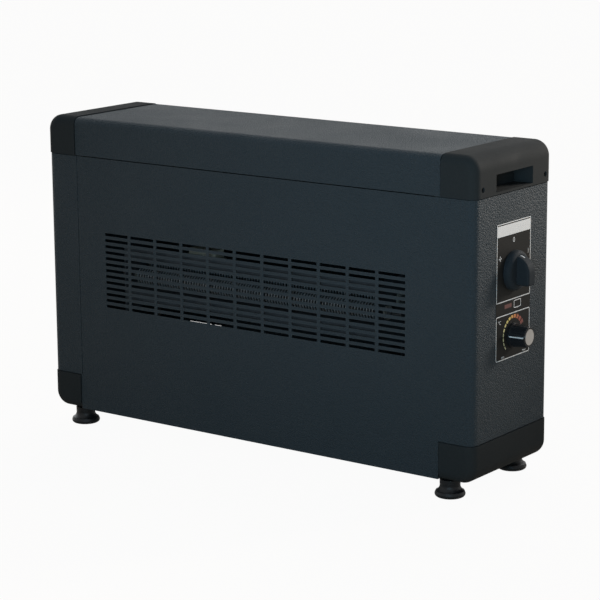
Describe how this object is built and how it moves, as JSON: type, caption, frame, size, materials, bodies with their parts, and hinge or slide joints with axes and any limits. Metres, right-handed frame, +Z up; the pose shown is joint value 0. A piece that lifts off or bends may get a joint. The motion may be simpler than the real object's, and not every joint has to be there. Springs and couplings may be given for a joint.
{
  "type": "fan heater",
  "caption": "Floor-standing fan heater: long steel case with slotted grille, plastic corner caps, levelling feet, and a selector and thermostat knob on the right end.",
  "frame": {"origin": "on the floor, in the plane of the feet's soles, under the middle of the whole object with its knobs, which is 11.4 mm from the middle of the case", "axes": "+X along the length to the end with the controls, +Y from front to rear, +Z up"},
  "size_m": [0.6308, 0.164, 0.38],
  "materials": {
    "casing_paint": "hammered powder coat",
    "cap_plastic": "satin moulded",
    "zinc_steel": "zinc plated",
    "fastener_steel": "plated",
    "black_screw": "black oxide",
    "foot_rubber": "satin",
    "label_film": "smooth film",
    "knob_plastic": "satin moulded",
    "disc_aluminium": "spun",
    "switch_plastic": "moulded",
    "element_steel": "heat-stained",
    "ceramic": "unglazed",
    "wheel_aluminium": "mill",
    "sintered_bronze": "sintered",
    "core_steel": "laminated",
    "copper": "enamelled or bare copper",
    "lead_insulation": "sleeved",
    "bushing_plastic": "moulded"
  },
  "bodies": {
    "casing": {"front_shell": "casing_paint", "rear_shell": "casing_paint", "top_cover": "casing_paint", "top_right_cap": "cap_plastic", "top_left_cap": "cap_plastic", "bottom_right_cap": "cap_plastic", "bottom_left_cap": "cap_plastic", "base_pan": "zinc_steel", "left_seam_strip": "zinc_steel", "right_seam_strip": "zinc_steel", "right_end_rail": "zinc_steel", "left_end_rail": "zinc_steel", "duct_upper": "zinc_steel", "duct_lower": "zinc_steel", "left_element_bracket": "zinc_steel", "right_element_bracket": "zinc_steel", "scroll_sheet": "zinc_steel", "tongue_sheet": "zinc_steel", "blower_left_plate": "zinc_steel", "blower_right_plate": "zinc_steel", "motor_inner_bridge": "zinc_steel", "motor_outer_bridge": "zinc_steel", "foot_nuts": "fastener_steel", "bush_nuts": "fastener_steel", "motor_screws": "fastener_steel", "cap_screws": "black_screw", "bush_grommet": "foot_rubber", "control_label": "label_film", "selector_switch": "switch_plastic", "thermostat_body": "switch_plastic", "terminal_block": "switch_plastic", "bulb_clips": "switch_plastic", "front_heating_element": "element_steel", "rear_heating_element": "element_steel", "element_link": "element_steel", "element_insulators": "ceramic", "thermal_cutout": "ceramic", "fan_bush": "sintered_bronze", "motor_core": "core_steel", "motor_coil": "copper", "thermostat_sensor": "copper", "switch_lead": "lead_insulation", "motor_lead": "lead_insulation", "cable_bushing": "bushing_plastic"},
    "fan": {"fan_wheel": "wheel_aluminium", "fan_shaft": "zinc_steel", "motor_rotor": "core_steel"},
    "selector": {"selector_knob": "knob_plastic", "selector_shaft": "zinc_steel"},
    "thermostat": {"thermostat_knob": "knob_plastic", "thermostat_knob_disc": "disc_aluminium", "thermostat_shaft": "zinc_steel"},
    "front_left_foot": {"front_left_foot_pad": "foot_rubber"},
    "front_left_stud": {"front_left_foot_stud": "fastener_steel"},
    "front_right_foot": {"front_right_foot_pad": "foot_rubber"},
    "front_right_stud": {"front_right_foot_stud": "fastener_steel"},
    "rear_left_foot": {"rear_left_foot_pad": "foot_rubber"},
    "rear_left_stud": {"rear_left_foot_stud": "fastener_steel"},
    "rear_right_foot": {"rear_right_foot_pad": "foot_rubber"},
    "rear_right_stud": {"rear_right_foot_stud": "fastener_steel"}
  },
  "joints": [
    {"name": "fan_spin", "type": "hinge", "parent": "casing", "child": "fan", "pos_m": [0.0136, 0.0358, 0.15], "axis": [1, 0, 0], "continuous": true},
    {"name": "selector_turn", "type": "hinge", "parent": "casing", "child": "selector", "pos_m": [0.2916, 0.001, 0.246], "axis": [-1, 0, 0], "range_deg": [-60, 60]},
    {"name": "thermostat_turn", "type": "hinge", "parent": "casing", "child": "thermostat", "pos_m": [0.2916, 0.001, 0.1737], "axis": [-1, 0, 0], "range_deg": [-45, 225]},
    {"name": "front_left_foot_level", "type": "slide", "parent": "casing", "child": "front_left_foot", "axis": [0, 0, -1], "range_m": [0, 0.01]},
    {"name": "front_left_stud_turn", "type": "hinge", "parent": "front_left_foot", "child": "front_left_stud", "pos_m": [-0.2774, -0.065, 0.02], "axis": [0, 0, -1], "range_deg": [0, 2881]},
    {"name": "front_right_foot_level", "type": "slide", "parent": "casing", "child": "front_right_foot", "axis": [0, 0, -1], "range_m": [0, 0.01]},
    {"name": "front_right_stud_turn", "type": "hinge", "parent": "front_right_foot", "child": "front_right_stud", "pos_m": [0.2546, -0.065, 0.02], "axis": [0, 0, -1], "range_deg": [0, 2881]},
    {"name": "rear_left_foot_level", "type": "slide", "parent": "casing", "child": "rear_left_foot", "axis": [0, 0, -1], "range_m": [0, 0.01]},
    {"name": "rear_left_stud_turn", "type": "hinge", "parent": "rear_left_foot", "child": "rear_left_stud", "pos_m": [-0.2774, 0.065, 0.02], "axis": [0, 0, -1], "range_deg": [0, 2881]},
    {"name": "rear_right_foot_level", "type": "slide", "parent": "casing", "child": "rear_right_foot", "axis": [0, 0, -1], "range_m": [0, 0.01]},
    {"name": "rear_right_stud_turn", "type": "hinge", "parent": "rear_right_foot", "child": "rear_right_stud", "pos_m": [0.2546, 0.065, 0.02], "axis": [0, 0, -1], "range_deg": [0, 2881]}
  ],
  "couplings": [
    {"joint": "front_left_stud_turn", "follows": "front_left_foot_level", "rad_per_m": 5026.5},
    {"joint": "front_right_stud_turn", "follows": "front_right_foot_level", "rad_per_m": 5026.5},
    {"joint": "rear_left_stud_turn", "follows": "rear_left_foot_level", "rad_per_m": 5026.5},
    {"joint": "rear_right_stud_turn", "follows": "rear_right_foot_level", "rad_per_m": 5026.5}
  ]
}
